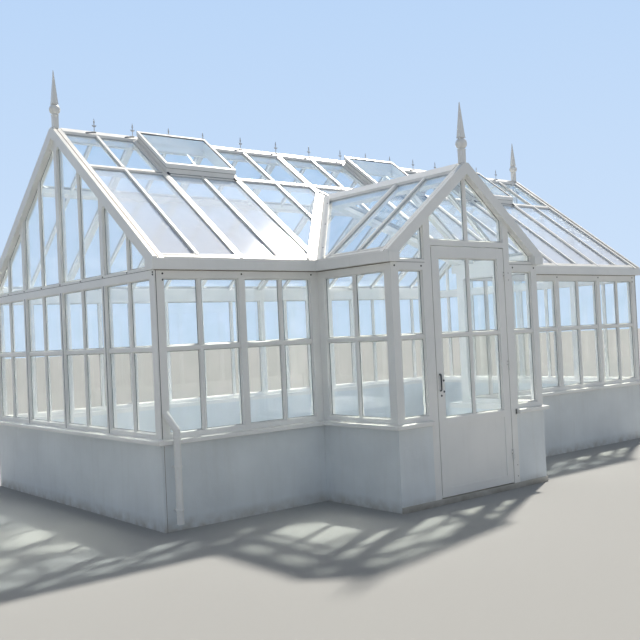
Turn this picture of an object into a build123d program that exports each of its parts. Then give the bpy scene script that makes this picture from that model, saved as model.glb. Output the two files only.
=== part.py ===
from build123d import *
from math import cos, hypot, radians, sin, tan
import os

# A white aluminium greenhouse on rendered dwarf walls, with a gabled porch on
# its front. X runs along the ridge, Y runs back from the porch, Z is up.
# Lengths are in millimetres and angles in degrees.

# Ground plan, to the outer faces of the walls
left_length = 1560.0
right_length = 3120.0
house_depth = 3440.0
porch_projection = 900.0
sidelight_width = 377.0

# Bar spaces along each part of the plan
left_bays = 4
porch_bays = 4
right_bays = 8
gable_bays = 8
porch_side_bays = 2

# Dwarf walls, plinth and sill
wall_height = 640.0
wall_thickness = 120.0
plinth_height = 45.0
plinth_proud = 15.0
sill_thickness = 46.0
sill_overhang = 40.0
sill_nose = 34.0
sill_lip = 10.0

# Wall frames
eaves_height = 1950.0
frame_depth = 64.0
corner_width = 80.0
post_width = 60.0
bar_width = 26.0
bar_depth = 40.0
bar_setback = 8.0
bottom_rail = 36.0
eaves_rail = 62.0
transom_height = 1358.0
transom_width = 26.0
glass_thickness = 4.0
glass_setback = 22.0

# Gutters
gutter_height = 75.0
gutter_width = 50.0
gutter_wall = 5.0
gutter_end = 40.0
eaves_plate = 64.0

# Roof
roof_pitch = 37.2
porch_pitch = 38.65
rafter_width = 60.0
rafter_depth = 58.0
roof_bar_width = 26.0
roof_bar_depth = 40.0
roof_bar_proud = 5.0
roof_glass_setback = 14.0
purlin_from_ridge = 568.0
purlin_width = 40.0
eaves_strip = 16.0
eaves_overhang = 20.0
ridge_beam_width = 50.0
ridge_beam_depth = 120.0
cap_width = 52.0
porch_cap_width = 80.0
cap_thickness = 10.0
porch_bar_position = 380.0
porch_rafter_position = 745.0

# Valleys, between the porch roof and the front slope
valley_half_width = 72.0
valley_rib_width = 18.0
valley_rib_height = 14.0

# Gables
rake_width = 88.0
rake_proud = 16.0
rake_out = 30.0
rake_step = 34.0
rake_step_drop = 10.0
foot_rise = 23.0
foot_edge = 6.0
gusset_radius = 60.0

# Roof vents, each over the space between two rafters that holds its middle
vent_middles = (1170.0, 3770.0, 5330.0)
kerb_wall = 16.0
kerb_height = 42.0
sash_wall = 24.0
sash_overlap = 8.0
sash_height = 32.0
vent_glass_drop = 5.0

# Porch door
leaf_width = 900.0
leaf_above_eaves = 133.0
leaf_thickness = 45.0
leaf_gap = 8.0
stop_gap = 6.0
stop_width = 18.0
jamb_width = 75.0
head_height = 46.0
stile_width = 84.0
top_rail = 90.0
ledge_rail = 60.0
kick_rail = 70.0
panel_inset = 5.0
panel_thickness = 30.0
door_bar_width = 22.0
door_bar_depth = 24.0

# Hinges and handle of the door
hinge_heights = (0.12, 0.5, 0.88)
hinge_pin_radius = 4.0
hinge_pin_clearance = 0.05
knuckle_radius = 8.0
knuckle_length = 45.0
knuckle_gap = 0.3
hinge_plate = 3.0
hinge_plate_reach = 26.0
handle_height = 950.0
handle_length = 160.0
handle_overrun = 22.0
handle_reach = 34.0
handle_radius = 6.0
handle_post_width = 10.0
handle_plate_width = 30.0
handle_plate = 4.0

# Finials, cresting and downpipe
finial_post = 48.0
finial_rise = 125.0
finial_ball = 50.0
finial_sink = 7.0
finial_spike = 310.0
finial_spike_base = 53.0
finial_spike_tip = 5.0
crest_height = 120.0
crest_stem = 8.0
crest_thickness = 5.0
crest_leaf_width = 45.0
crest_leaf_height = 24.0
crest_leaf_level = 48.0
crest_foot_reach = 105.0
crest_foot_drop = 34.0
crest_foot_thickness = 4.0
crest_foot_width = 12.0
pipe_radius = 27.0
pipe_gap = 4.0
pipe_offset = 92.0
pipe_outlet = 880.0
pipe_drop = 130.0
pipe_foot = 60.0
pipe_brackets = (160.0, 480.0)
pipe_bracket_height = 8.0

# Places worked out from the sizes above
porch_width = 2 * (sidelight_width + jamb_width + leaf_gap) + leaf_width
house_length = left_length + porch_width + right_length
gutter_top = eaves_height + gutter_height
sill_top = wall_height + sill_thickness
front_reach = porch_projection + max(sill_overhang, rake_out, gutter_end)
rear_reach = house_depth + gutter_width
y_front = (front_reach - rear_reach) / 2
y_porch = y_front - porch_projection
y_rear = y_front + house_depth
y_ridge = (y_front + y_rear) / 2
x_left = -house_length / 2
x_porch_left = x_left + left_length
x_porch_right = x_porch_left + porch_width
x_right = house_length / 2
x_porch = (x_porch_left + x_porch_right) / 2
main_slope = tan(radians(roof_pitch))
porch_slope = tan(radians(porch_pitch))
half_depth = house_depth / 2
half_porch = porch_width / 2
ridge_top = gutter_top + (half_depth + gutter_width) * main_slope
porch_ridge_top = gutter_top + (half_porch + gutter_width) * porch_slope
far = 3 * house_length
up = Vector(0, 0, 1)

# Door opening, measured along the porch front from its left corner
jamb_start = sidelight_width
opening_start = jamb_start + jamb_width
leaf_start = opening_start + leaf_gap
leaf_bottom = plinth_height + leaf_gap
leaf_top = eaves_height + leaf_above_eaves
leaf_height = leaf_top - leaf_bottom
head_bottom = leaf_top + leaf_gap
head_top = head_bottom + head_height

# The outer corners of the plan, anticlockwise from the front left
corners = [
    Vector(x_left, y_front),
    Vector(x_porch_left, y_front),
    Vector(x_porch_left, y_porch),
    Vector(x_porch_right, y_porch),
    Vector(x_porch_right, y_front),
    Vector(x_right, y_front),
    Vector(x_right, y_rear),
    Vector(x_left, y_rear),
]
FRONT_LEFT, PORCH_LEFT, PORCH_FRONT, PORCH_RIGHT, FRONT_RIGHT, RIGHT, REAR, LEFT = range(8)


def length(side):
    return (corners[(side + 1) % 8] - corners[side]).length


def along(side):
    return (corners[(side + 1) % 8] - corners[side]).normalized()


def outward(side):
    return along(side % 8).cross(up)


def wall_plane(side):
    """The outer face of one wall line: x runs along it, y is height, z is outward."""
    return Plane(origin=corners[side], x_dir=along(side), z_dir=outward(side))


def shape(*points):
    return make_face(Polyline(*points, close=True))


def rect(x0, y0, x1, y1):
    """A rectangle between two opposite corners, in any order."""
    return Pos((x0 + x1) / 2, (y0 + y1) / 2) * Rectangle(abs(x1 - x0), abs(y1 - y0))


def prism(plan, low=0.0, high=far):
    """A plan outline drawn up between two levels."""
    return extrude(Pos(0, 0, low) * plan, amount=high - low)


def inward(side, sketch, start, end):
    """A sketch on a wall line drawn in from one depth behind its face to another."""
    return extrude(wall_plane(side).offset(-start) * sketch, amount=start - end)


def strip(side, out, inside, start=None, end=None):
    """Plan of a strip along a wall line. An end is mitred, or square at a distance from its corner."""
    first, last = corners[side], corners[(side + 1) % 8]

    def edge(offset):
        near = first + outward(side) * offset
        near += outward(side - 1) * offset if start is None else along(side) * start
        distant = last + outward(side) * offset
        if end is None:
            distant += outward(side + 1) * offset
        else:
            distant += along(side) * (end - length(side))
        return near, distant

    near_out, distant_out = edge(out)
    near_in, distant_in = edge(-inside)
    return shape(near_out, distant_out, distant_in, near_in)


def moulding(side, section, out, inside, start=None, end=None):
    """A section, drawn as distance outward and height, run along a wall line."""
    origin = corners[side] - along(side) * porch_width
    plane = Plane(origin=origin, x_dir=outward(side), z_dir=-along(side))
    run = extrude(plane * section, amount=-(length(side) + 2 * porch_width))
    return run & prism(strip(side, out, inside, start, end))


def bar_lines(start, span, bays):
    """Places of the bar lines over a span, each with True where a thick member stands."""
    return [(start + span * k / bays, k % 2 == 0 or k == bays) for k in range(bays + 1)]


ridge_lines = bar_lines(x_left, left_length, left_bays)
ridge_lines += bar_lines(x_porch_left, porch_width, porch_bays)[1:]
ridge_lines += bar_lines(x_porch_right, right_length, right_bays)[1:]
rafter_places = [x for x, thick in ridge_lines if thick]
thin_places = [x for x, thick in ridge_lines if not thick]


# Dwarf walls and sills

def dwarf_wall(side, start=None, end=None, low=0.0):
    return prism(strip(side, 0, wall_thickness, start, end), low, wall_height)


def plinth():
    """The low kerb under the porch front, which is also the door's threshold."""
    mitred = strip(PORCH_FRONT, plinth_proud, wall_thickness)
    square = strip(PORCH_FRONT, plinth_proud, wall_thickness, 0, porch_width)
    return prism(mitred & square, 0, plinth_height)


def sill(side, start=None, end=None):
    """A sill with a thick back, a sloping top and a drip under its nose."""
    nose_low = sill_top - sill_nose
    section = shape(
        (-wall_thickness, wall_height),
        (0, wall_height),
        (sill_lip, wall_height),
        (sill_overhang - sill_lip, nose_low - sill_lip / 2),
        (sill_overhang, nose_low - sill_lip / 2),
        (sill_overhang, sill_top - sill_lip),
        (0, sill_top),
        (-wall_thickness, sill_top),
    )
    return moulding(side, section, sill_overhang, wall_thickness, start, end)


# Glazed walls

def glazed(side, openings, solid, thin_bars, clip):
    """The frame and the panes of one flat glazed side, from sketches on its own plane."""
    bars = thin_bars & openings
    frame = inward(side, solid - openings, 0, frame_depth)
    frame += inward(side, bars, bar_setback, bar_setback + bar_depth)
    panes = inward(side, openings - bars, glass_setback, glass_setback + glass_thickness)
    return frame & clip, panes


def top_gussets(openings, level, radius):
    """What fills the corners of openings above a level, to a curve."""
    tops = [corner for corner in openings.vertices() if corner.Y > level]
    return openings - fillet(tops, radius)


def wall_lines(side):
    """Bar lines of a wall, measured from the wall's own start."""
    if side in (LEFT, RIGHT):
        return bar_lines(0, house_depth, gable_bays)
    if side in (PORCH_LEFT, PORCH_RIGHT):
        return bar_lines(0, porch_projection, porch_side_bays)
    start, step = corners[side].X, along(side).X
    return [((x - start) * step, thick) for x, thick in ridge_lines]


def gable_foot(span, slope):
    """Where a gable's panes reach down between the gutters, into openings in the wall frame's head."""
    edge = (rake_width - rake_proud) * hypot(1, slope) / slope - gutter_width
    edge = max(edge, eaves_plate + foot_edge)
    return rect(edge, eaves_height + foot_rise, span - edge, gutter_top)


def glazed_wall(side, start=None, end=None):
    """Sill to eaves, or up between the gutters under a gable: posts, bars, rails and one transom."""
    span = length(side)
    low, high = sill_top + bottom_rail, eaves_height - eaves_rail
    first = corner_width if start is None else start + bar_width
    last = span - corner_width if end is None else end - bar_width
    solid = rect(start or 0, sill_top, end or span, eaves_height)
    openings = rect(first, low, last, high)
    if side in (LEFT, RIGHT, PORCH_FRONT):
        solid += rect(start or eaves_plate, eaves_height, end or span - eaves_plate, gutter_top)
        openings += gable_foot(span, porch_slope if side == PORCH_FRONT else main_slope)
    thin_bars = rect(0, transom_height - transom_width / 2, span, transom_height + transom_width / 2)
    for place, thick in wall_lines(side):
        if not first + post_width < place < last - post_width:
            continue
        if thick:
            openings -= rect(place - post_width / 2, low, place + post_width / 2, gutter_top)
        else:
            thin_bars += rect(place - bar_width / 2, low, place + bar_width / 2, gutter_top)
    plan = strip(side, 0, frame_depth, start, end)
    frame, panes = glazed(side, openings, solid, thin_bars, prism(plan))
    return frame, panes & prism(plan, 0, eaves_height)


# Gables

def roof_line(span, slope, raise_by=0.0):
    """Outline under a gable's two slopes, down to the top of the gutters."""
    foot = gutter_top
    peak = gutter_top + (span / 2 + gutter_width) * slope + raise_by
    reach = (peak - foot) / slope
    return shape((span / 2 - reach, foot), (span / 2 + reach, foot), (span / 2, peak))


def finial_seat(span, slope, raise_by):
    """Height of the flat that the finial's post stands on."""
    return gutter_top + (span / 2 + gutter_width) * slope + raise_by - finial_post / 2 * slope


def rakes(span, slope, proud, width):
    """Both sloping members of a gable, cut square at the gutters and flat under the finial."""
    fall = hypot(1, slope)
    flat = finial_seat(span, slope, rake_proud * fall)
    limit = rect(-gutter_width, gutter_top, span + gutter_width, flat)
    return (roof_line(span, slope, proud * fall) & limit) - roof_line(span, slope, (proud - width) * fall)


def rake_strip(side, span, slope):
    """The outer board of the rakes and its higher outer step."""
    board = rakes(span, slope, rake_proud - rake_step_drop, rake_width - rake_step_drop)
    step = rakes(span, slope, rake_proud, rake_width)
    return inward(side, board, 0, frame_depth) + inward(side, step, -rake_out, rake_step - rake_out)


def main_gable(side):
    """The triangle over an end wall. Its curved gussets lie in front of the glass."""
    fall = hypot(1, main_slope)
    inner = roof_line(house_depth, main_slope, (rake_proud - rake_width) * fall)
    openings = inner + gable_foot(house_depth, main_slope)
    thin_bars = Sketch()
    for place, thick in wall_lines(side)[1:-1]:
        if thick:
            openings -= rect(place - post_width / 2, 0, place + post_width / 2, far)
        else:
            thin_bars += rect(place - bar_width / 2, 0, place + bar_width / 2, far)
    clip = prism(strip(side, 0, frame_depth, 0, house_depth), gutter_top)
    frame, panes = glazed(side, openings, inner, thin_bars, clip)
    frame += inward(side, top_gussets(openings, gutter_top + rake_width, gusset_radius), 0, glass_setback)
    return frame + rake_strip(side, house_depth, main_slope), panes


def under_porch_rakes():
    """All of the porch front that lies under the rakes, down to the ground."""
    fall = hypot(1, porch_slope)
    gable = roof_line(porch_width, porch_slope, (rake_proud - rake_width) * fall)
    return gable + rect(0, 0, porch_width, gutter_top)


def porch_gable():
    """The triangle over the porch front, with the head of the door frame."""
    above_gutters = under_porch_rakes() - rect(0, 0, porch_width, gutter_top)
    over_door = rect(opening_start, head_top, porch_width - opening_start, far) & under_porch_rakes()
    beside_jambs = above_gutters + gable_foot(porch_width, porch_slope)
    openings = over_door + (beside_jambs - rect(jamb_start, 0, porch_width - jamb_start, far))
    king_bar = rect(half_porch - bar_width / 2, head_top, half_porch + bar_width / 2, far)
    solid = above_gutters - jamb_outline()
    solid -= rect(opening_start, 0, porch_width - opening_start, head_bottom)
    solid += rect(opening_start, head_bottom, porch_width - opening_start, head_top)
    clip = prism(strip(PORCH_FRONT, 0, frame_depth, 0, porch_width))
    frame, panes = glazed(PORCH_FRONT, openings, solid, king_bar, clip)
    gussets = top_gussets(over_door, head_top + rake_width, gusset_radius)
    frame += inward(PORCH_FRONT, gussets, 0, glass_setback)
    return frame + rake_strip(PORCH_FRONT, porch_width, porch_slope), panes


# Door frame and door

def jamb_outline():
    """Both jambs, from the plinth up to the underside of the rakes."""
    left = rect(jamb_start, plinth_height, opening_start, far)
    right = rect(porch_width - opening_start, plinth_height, porch_width - jamb_start, far)
    return (left + right) & under_porch_rakes()


def door_jambs():
    """Jambs with the stops that the leaf closes against."""
    jambs = inward(PORCH_FRONT, jamb_outline(), 0, frame_depth)
    behind = leaf_thickness + stop_gap
    for edge, step in ((opening_start, 1), (porch_width - opening_start, -1)):
        stop = rect(edge, plinth_height, edge + step * stop_width, head_bottom)
        jambs += inward(PORCH_FRONT, stop, behind, frame_depth)
    return jambs


def leaf_openings():
    left, right = leaf_start + stile_width, leaf_start + leaf_width - stile_width
    glass = rect(left, sill_top, right, leaf_top - top_rail)
    panel = rect(left, leaf_bottom + kick_rail, right, sill_top - ledge_rail)
    return glass, panel


def door_bars():
    glass = leaf_openings()[0]
    middle = leaf_start + leaf_width / 2
    upright = rect(middle - door_bar_width / 2, sill_top, middle + door_bar_width / 2, leaf_top)
    across = rect(leaf_start, transom_height - door_bar_width / 2, leaf_start + leaf_width,
                  transom_height + door_bar_width / 2)
    return (upright + across) & glass


def door_leaf():
    glass, panel = leaf_openings()
    outline = rect(leaf_start, leaf_bottom, leaf_start + leaf_width, leaf_top)
    bars_start = (leaf_thickness - door_bar_depth) / 2
    frame = inward(PORCH_FRONT, outline - glass - panel, 0, leaf_thickness)
    return frame + inward(PORCH_FRONT, door_bars(), bars_start, bars_start + door_bar_depth)


def door_panel():
    return inward(PORCH_FRONT, leaf_openings()[1], panel_inset, panel_inset + panel_thickness)


def door_glass():
    start = (leaf_thickness - glass_thickness) / 2
    return inward(PORCH_FRONT, leaf_openings()[0] - door_bars(), start, start + glass_thickness)


def hinge_axis():
    """The pin line: in the middle of the gap at the leaf's right edge, its knuckle clear in front."""
    return Vector(x_porch_left + leaf_start + leaf_width + leaf_gap / 2, y_porch - knuckle_radius)


def hinge_half(toward, low, high):
    """A plate screwed to the face, with its knuckle."""
    pin = hinge_axis()
    knuckle = Pos(pin.X, pin.Y) * prism(Circle(knuckle_radius), low, high)
    plate = rect(pin.X, y_porch - hinge_plate, pin.X + toward * hinge_plate_reach, y_porch)
    return knuckle + prism(plate, low, high)


def hinge_levels():
    return [leaf_bottom + share * leaf_height for share in hinge_heights]


def door_hinges():
    """Upper halves of the hinges, which lift off their pins with the leaf."""
    pin = hinge_axis()
    bore = Pos(pin.X, pin.Y) * Circle(hinge_pin_radius + hinge_pin_clearance)
    halves = []
    for level in hinge_levels():
        halves.append(hinge_half(-1, level + knuckle_gap, level + knuckle_length) - prism(bore))
    return halves


def frame_hinges():
    """Lower halves of the hinges on the jamb, each with its pin."""
    pin = hinge_axis()
    centre = Pos(pin.X, pin.Y) * Circle(hinge_pin_radius)
    halves = []
    for level in hinge_levels():
        half = hinge_half(1, level - knuckle_length, level)
        halves.append(half + prism(centre, level - knuckle_length, level + 0.8 * knuckle_length))
    return halves


def door_handle(direction):
    """A bar on two posts over a long plate. Direction is -1 outside and 1 inside."""
    x = x_porch_left + leaf_start + stile_width / 2
    face_y = y_porch if direction < 0 else y_porch + leaf_thickness
    plate_y = face_y + direction * handle_plate
    bar_y = face_y + direction * (handle_reach - handle_radius)
    bottom, top = handle_height - handle_length / 2, handle_height + handle_length / 2
    plate = rect(x - handle_plate_width / 2, face_y, x + handle_plate_width / 2, plate_y)
    bar = Pos(x, bar_y) * Circle(handle_radius)
    handle = prism(plate, bottom - handle_overrun, top + handle_overrun)
    handle += prism(bar, bottom - handle_overrun, top + handle_overrun)
    for level in (bottom, top):
        half = handle_post_width / 2
        handle += prism(rect(x - half, plate_y, x + half, bar_y), level - half, level + half)
    return handle


# Roof slopes

def slope_plane(side, pitch):
    """The roof plane that rises from the outer top edge of a wall line's gutter."""
    facing = outward(side)
    origin = corners[side] + facing * gutter_width + up * gutter_top
    normal = facing * sin(radians(pitch)) + up * cos(radians(pitch))
    return Plane(origin=origin, x_dir=along(side), z_dir=normal)


front_slope = slope_plane(FRONT_LEFT, roof_pitch)
rear_slope = slope_plane(REAR, roof_pitch)
porch_left_slope = slope_plane(PORCH_LEFT, porch_pitch)


def roof_layer(slope, plan, top, bottom):
    """What lies over a plan between two distances above a roof slope, and above the gutters."""
    slab = extrude(slope.offset(bottom) * Rectangle(far, far), amount=top - bottom)
    return slab & prism(plan, gutter_top)


def inside_edge(distance, rear=False):
    """Y of a line at a distance in from the front or the rear wall's face."""
    return y_rear - distance if rear else y_front + distance


def valley_triangle(offset):
    """Plan of the porch roof where it cuts the front slope, widened by an offset."""
    peak_rise = (half_porch + gutter_width) * porch_slope / main_slope
    peak = y_front - gutter_width + peak_rise + offset * hypot(main_slope, porch_slope) / main_slope
    foot = y_front - house_depth
    reach = (peak - foot) * main_slope / porch_slope
    return shape((x_porch, peak), (x_porch - reach, foot), (x_porch + reach, foot))


def slope_parts(slope, outline, rafters, rails, bars, vented=None):
    """Rafters, rails between them, thin bars between the rails, and a pane in each space left."""
    rails -= rafters
    bars -= rafters + rails
    panes = outline - rafters - rails - bars
    if vented:
        bars -= vented
        panes -= vented
    glass_low = -roof_glass_setback - glass_thickness
    return (
        roof_layer(slope, rafters & outline, 0, -rafter_depth),
        roof_layer(slope, rails & outline, 0, -rafter_depth),
        roof_layer(slope, bars & outline, roof_bar_proud, -roof_bar_depth),
        roof_layer(slope, panes, -roof_glass_setback, glass_low),
    )


def main_slope_parts(slope, outline, rear=False, vented=None):
    """A main slope. Its rails are the eaves rail, the purlin and the rail under the ridge cap."""
    eaves = inside_edge(-eaves_overhang, rear)
    top = inside_edge(half_depth - ridge_beam_width / 2, rear)
    purlin = half_depth - purlin_from_ridge
    outline = outline & rect(x_left + frame_depth, eaves, x_right - frame_depth, top)
    half_rafter, half_bar = rafter_width / 2, roof_bar_width / 2
    rafters = Sketch() + [rect(x - half_rafter, eaves, x + half_rafter, top) for x in rafter_places[1:-1]]
    bars = Sketch() + [rect(x - half_bar, eaves, x + half_bar, top) for x in thin_places]
    purlin_low = inside_edge(purlin - purlin_width / 2, rear)
    purlin_high = inside_edge(purlin + purlin_width / 2, rear)
    rails = rect(x_left, eaves, x_right, inside_edge(eaves_strip, rear))
    rails += rect(x_left, purlin_low, x_right, purlin_high)
    rails += rect(x_left, inside_edge(half_depth - cap_width, rear), x_right, top)
    return slope_parts(slope, outline, rafters, rails, bars, vented)


def front_roof():
    outline = rect(x_left, inside_edge(-eaves_overhang), x_right, y_ridge)
    outline -= valley_triangle(valley_half_width)
    return main_slope_parts(front_slope, outline, False, Sketch() + [rect(*plan) for plan in vent_plans()])


def rear_roof():
    outline = rect(x_left, y_ridge, x_right, inside_edge(-eaves_overhang, True))
    return main_slope_parts(rear_slope, outline, True)


def below_and_above_purlin(panes):
    """The panes of both main slopes, those that diffuse the light first and the clear ones after."""
    level = gutter_top + (half_depth - purlin_from_ridge + gutter_width) * main_slope
    below = [pane for pane in panes if pane.center().Z < level]
    above = [pane for pane in panes if pane.center().Z > level]
    return below, above


def porch_roof_left():
    """The left porch slope: one thin bar and one rafter between the rakes and the valley."""
    eaves, top = x_porch_left - eaves_overhang, x_porch - ridge_beam_width / 2
    front = y_porch + frame_depth
    outline = rect(eaves, front, top, y_ridge) & valley_triangle(-valley_half_width)
    rafter, bar = y_porch + porch_rafter_position, y_porch + porch_bar_position
    rafters = rect(eaves, rafter - rafter_width / 2, top, rafter + rafter_width / 2)
    bars = rect(eaves, bar - roof_bar_width / 2, top, bar + roof_bar_width / 2)
    rails = rect(eaves, front, x_porch_left + eaves_strip, y_ridge)
    rails += rect(x_porch - porch_cap_width, front, top, y_ridge)
    return slope_parts(porch_left_slope, outline, rafters, rails, bars)


def to_right_of_porch(part):
    """The mirror image across the porch's middle."""
    return mirror(part, about=Plane.YZ.offset(x_porch))


def valley_left():
    """The valley tray: its floor follows both slopes, with a rib along each edge."""
    covered = rect(x_left, y_front - eaves_overhang, x_porch, y_ridge)
    covered += rect(x_porch_left - eaves_overhang, y_porch, x_porch, y_ridge)
    line = valley_triangle(0)
    main_side = (valley_triangle(valley_half_width) - line) & covered
    porch_side = (line - valley_triangle(-valley_half_width)) & covered
    tray = roof_layer(front_slope, main_side, 0, -rafter_depth)
    tray += roof_layer(porch_left_slope, porch_side, 0, -rafter_depth)
    rib_edge = valley_half_width - valley_rib_width
    main_rib = main_side - valley_triangle(rib_edge)
    porch_rib = porch_side & valley_triangle(-rib_edge)
    tray += roof_layer(front_slope, main_rib, valley_rib_height, 0)
    tray += roof_layer(porch_left_slope, porch_rib, valley_rib_height, 0)
    return tray


def ridge_section(slope, top, cap):
    """Beam and cap in one section: the cap's flanks lie on the rafters of both slopes."""
    beam = ridge_beam_width / 2
    lift = cap_thickness * hypot(1, slope)
    low = top - ridge_beam_depth
    edge = top - cap * slope
    half = [(beam, low), (beam, top - beam * slope), (cap, edge), (cap, edge + lift)]
    return shape(*half, (0, top + lift), *[(-x, z) for x, z in reversed(half)])


def main_ridge():
    plane = Plane(origin=(x_left + frame_depth, y_ridge, 0), x_dir=(0, 1, 0), z_dir=(1, 0, 0))
    section = ridge_section(main_slope, ridge_top, cap_width)
    return extrude(plane * section, amount=house_length - 2 * frame_depth)


def porch_ridge():
    plane = Plane(origin=(x_porch, y_porch + frame_depth, 0), x_dir=(1, 0, 0), z_dir=(0, -1, 0))
    section = ridge_section(porch_slope, porch_ridge_top, porch_cap_width)
    beam = extrude(plane * section, amount=-house_depth)
    return beam & prism(valley_triangle(-valley_half_width))


# Roof vents

def vent_plans():
    """Plan of each vented opening, from the middle of the purlin up to the edge of the ridge cap."""
    low = inside_edge(half_depth - purlin_from_ridge)
    high = inside_edge(half_depth - cap_width)
    plans = []
    for x0, x1 in zip(rafter_places[:-1], rafter_places[1:]):
        if any(x0 < x_left + middle < x1 for middle in vent_middles):
            plans.append((x0 + rafter_width / 2, low, x1 - rafter_width / 2, high))
    return plans


def vent_ring(plan, grow_out, wall, bottom, top):
    """A frame round a vent: its outer edge is grown past the opening on three sides."""
    x0, y0, x1, y1 = plan
    outer = rect(x0 - grow_out, y0 - grow_out, x1 + grow_out, y1)
    inner = rect(x0 - grow_out + wall, y0 - grow_out + wall, x1 + grow_out - wall, y1 - wall)
    return roof_layer(front_slope, outer - inner, top, bottom)


def vent_kerbs():
    return [vent_ring(plan, kerb_wall / 2, kerb_wall, 0, kerb_height) for plan in vent_plans()]


def vent_sashes():
    grow = kerb_wall / 2 + sash_overlap
    return [vent_ring(plan, grow, sash_wall, kerb_height, kerb_height + sash_height) for plan in vent_plans()]


def vent_glass():
    grow = kerb_wall / 2 + sash_overlap - sash_wall
    top = kerb_height + sash_height - vent_glass_drop
    panes = []
    for x0, y0, x1, y1 in vent_plans():
        pane = rect(x0 - grow, y0 - grow, x1 + grow, y1 - sash_wall)
        panes.append(roof_layer(front_slope, pane, top, top - glass_thickness))
    return panes


# Gutters, downpipe, finials and cresting

def gutter(side, start=None, end=None):
    """An open box gutter in one section with the eaves plate that the rafters stand on."""
    wall, out = gutter_wall, gutter_width
    floor = eaves_height + wall
    section = shape(
        (-eaves_plate, eaves_height), (out, eaves_height), (out, gutter_top), (out - 2 * wall, gutter_top),
        (out - 2 * wall, gutter_top - wall), (out - wall, gutter_top - wall), (out - wall, floor),
        (0, floor), (0, gutter_top), (-eaves_plate, gutter_top),
    )
    channel = moulding(side, section, out, eaves_plate, start, end)
    for cut, step in ((start, 1), (end, -1)):
        if cut is not None:
            stop_end = strip(side, out, 0, min(cut, cut + step * wall), max(cut, cut + step * wall))
            channel += prism(stop_end, eaves_height, gutter_top)
    return channel


def downpipe():
    """A mitred offset that leaves the hollow corner post above the sill and runs down the wall."""
    x = x_left + pipe_offset
    y_out = y_front - sill_overhang - pipe_gap - pipe_radius
    x_post = x_left + corner_width / 2
    bend = pipe_outlet - pipe_drop
    path = Polyline((x_post, y_front, pipe_outlet), (x, y_out, bend), (x, y_out, pipe_foot))
    section = Plane(origin=path @ 0, z_dir=path % 0) * Circle(pipe_radius)
    pipe = sweep(section, path=path, transition=Transition.RIGHT)
    pipe &= prism(rect(x_left, y_front, x + corner_width, y_front - porch_projection))
    bracket = rect(x - pipe_radius / 2, y_front, x + pipe_radius / 2, y_out)
    for level in pipe_brackets:
        pipe += prism(bracket, level, level + pipe_bracket_height)
    return pipe


def finial(x, y, seat):
    """Square post, ball and four-sided spike."""
    post = Pos(x, y, seat) * extrude(Rectangle(finial_post, finial_post), amount=finial_rise)
    centre = seat + finial_rise + finial_ball - finial_sink
    ball = Pos(x, y, centre) * Sphere(finial_ball)
    spike_foot = centre + finial_ball - finial_sink
    base = Pos(x, y, spike_foot) * Rectangle(finial_spike_base, finial_spike_base)
    tip = Pos(x, y, spike_foot + finial_spike) * Rectangle(finial_spike_tip, finial_spike_tip)
    return post + ball + loft(Sketch() + [base, tip])


def gable_finials():
    middle = (frame_depth - rake_out) / 2
    main_seat = finial_seat(house_depth, main_slope, rake_proud * hypot(1, main_slope))
    porch_seat = finial_seat(porch_width, porch_slope, rake_proud * hypot(1, porch_slope))
    return [
        finial(x_left + middle, y_ridge, main_seat),
        finial(x_right - middle, y_ridge, main_seat),
        finial(x_porch, y_porch + middle, porch_seat),
    ]


def crest(x):
    """A spiked crest. Its foot is a strap that runs along and down the front of the ridge cap."""
    cap_top = ridge_top + cap_thickness * hypot(1, main_slope)
    width = crest_foot_width
    start, end, low = x + width / 2, x - crest_foot_reach, y_ridge - crest_foot_drop
    strap = shape((start, y_ridge), (x - width, y_ridge), (end, low), (end, low - width),
                  (start, y_ridge - width))
    foot = roof_layer(front_slope, strap, cap_thickness + crest_foot_thickness, cap_thickness)
    leaf_low = cap_top + crest_leaf_level
    half, stem = crest_leaf_width / 2, crest_stem / 2
    right = [(stem, cap_top), (stem, leaf_low), (half, leaf_low + crest_leaf_height / 2),
             (stem, leaf_low + crest_leaf_height)]
    outline = shape(*right, (0, cap_top + crest_height), *[(-x, z) for x, z in reversed(right)])
    flat = Plane(origin=(x, y_ridge + crest_thickness / 2, 0), x_dir=(1, 0, 0), z_dir=(0, -1, 0))
    return foot + extrude(flat * outline, amount=crest_thickness)


def ridge_cresting():
    return [crest(x) for x, thick in ridge_lines[1:-1]]


# Every node by name

def wall_nodes():
    """Walls that run front to back are sides. The others face front or rear."""
    sides = (LEFT, RIGHT, PORCH_LEFT, PORCH_RIGHT)
    fronts = (FRONT_LEFT, FRONT_RIGHT, REAR)
    porch_fronts = ({"end": jamb_start}, {"start": porch_width - jamb_start})
    side_walls = [glazed_wall(side) for side in sides]
    front_walls = [glazed_wall(side) for side in fronts]
    front_walls += [glazed_wall(PORCH_FRONT, **span) for span in porch_fronts]
    front_dwarf_walls = [dwarf_wall(side) for side in fronts]
    front_dwarf_walls += [dwarf_wall(PORCH_FRONT, low=plinth_height, **span) for span in porch_fronts]
    front_sills = [sill(side) for side in fronts] + [sill(PORCH_FRONT, **span) for span in porch_fronts]
    return {
        "porch_plinth": plinth(),
        "side_dwarf_walls": [dwarf_wall(side) for side in sides],
        "front_and_rear_dwarf_walls": front_dwarf_walls,
        "side_sills": [sill(side) for side in sides],
        "front_and_rear_sills": front_sills,
        "side_wall_frames": [frame for frame, panes in side_walls],
        "side_wall_glass": [panes for frame, panes in side_walls],
        "front_and_rear_wall_frames": [frame for frame, panes in front_walls],
        "front_and_rear_wall_glass": [panes for frame, panes in front_walls],
    }


def door_nodes():
    return {
        "door_jambs": door_jambs(),
        "frame_hinges": frame_hinges(),
        "door_leaf": door_leaf(),
        "door_panel": door_panel(),
        "door_glass": door_glass(),
        "door_hinges": door_hinges(),
        "door_handles": [door_handle(-1), door_handle(1)],
    }


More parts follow.
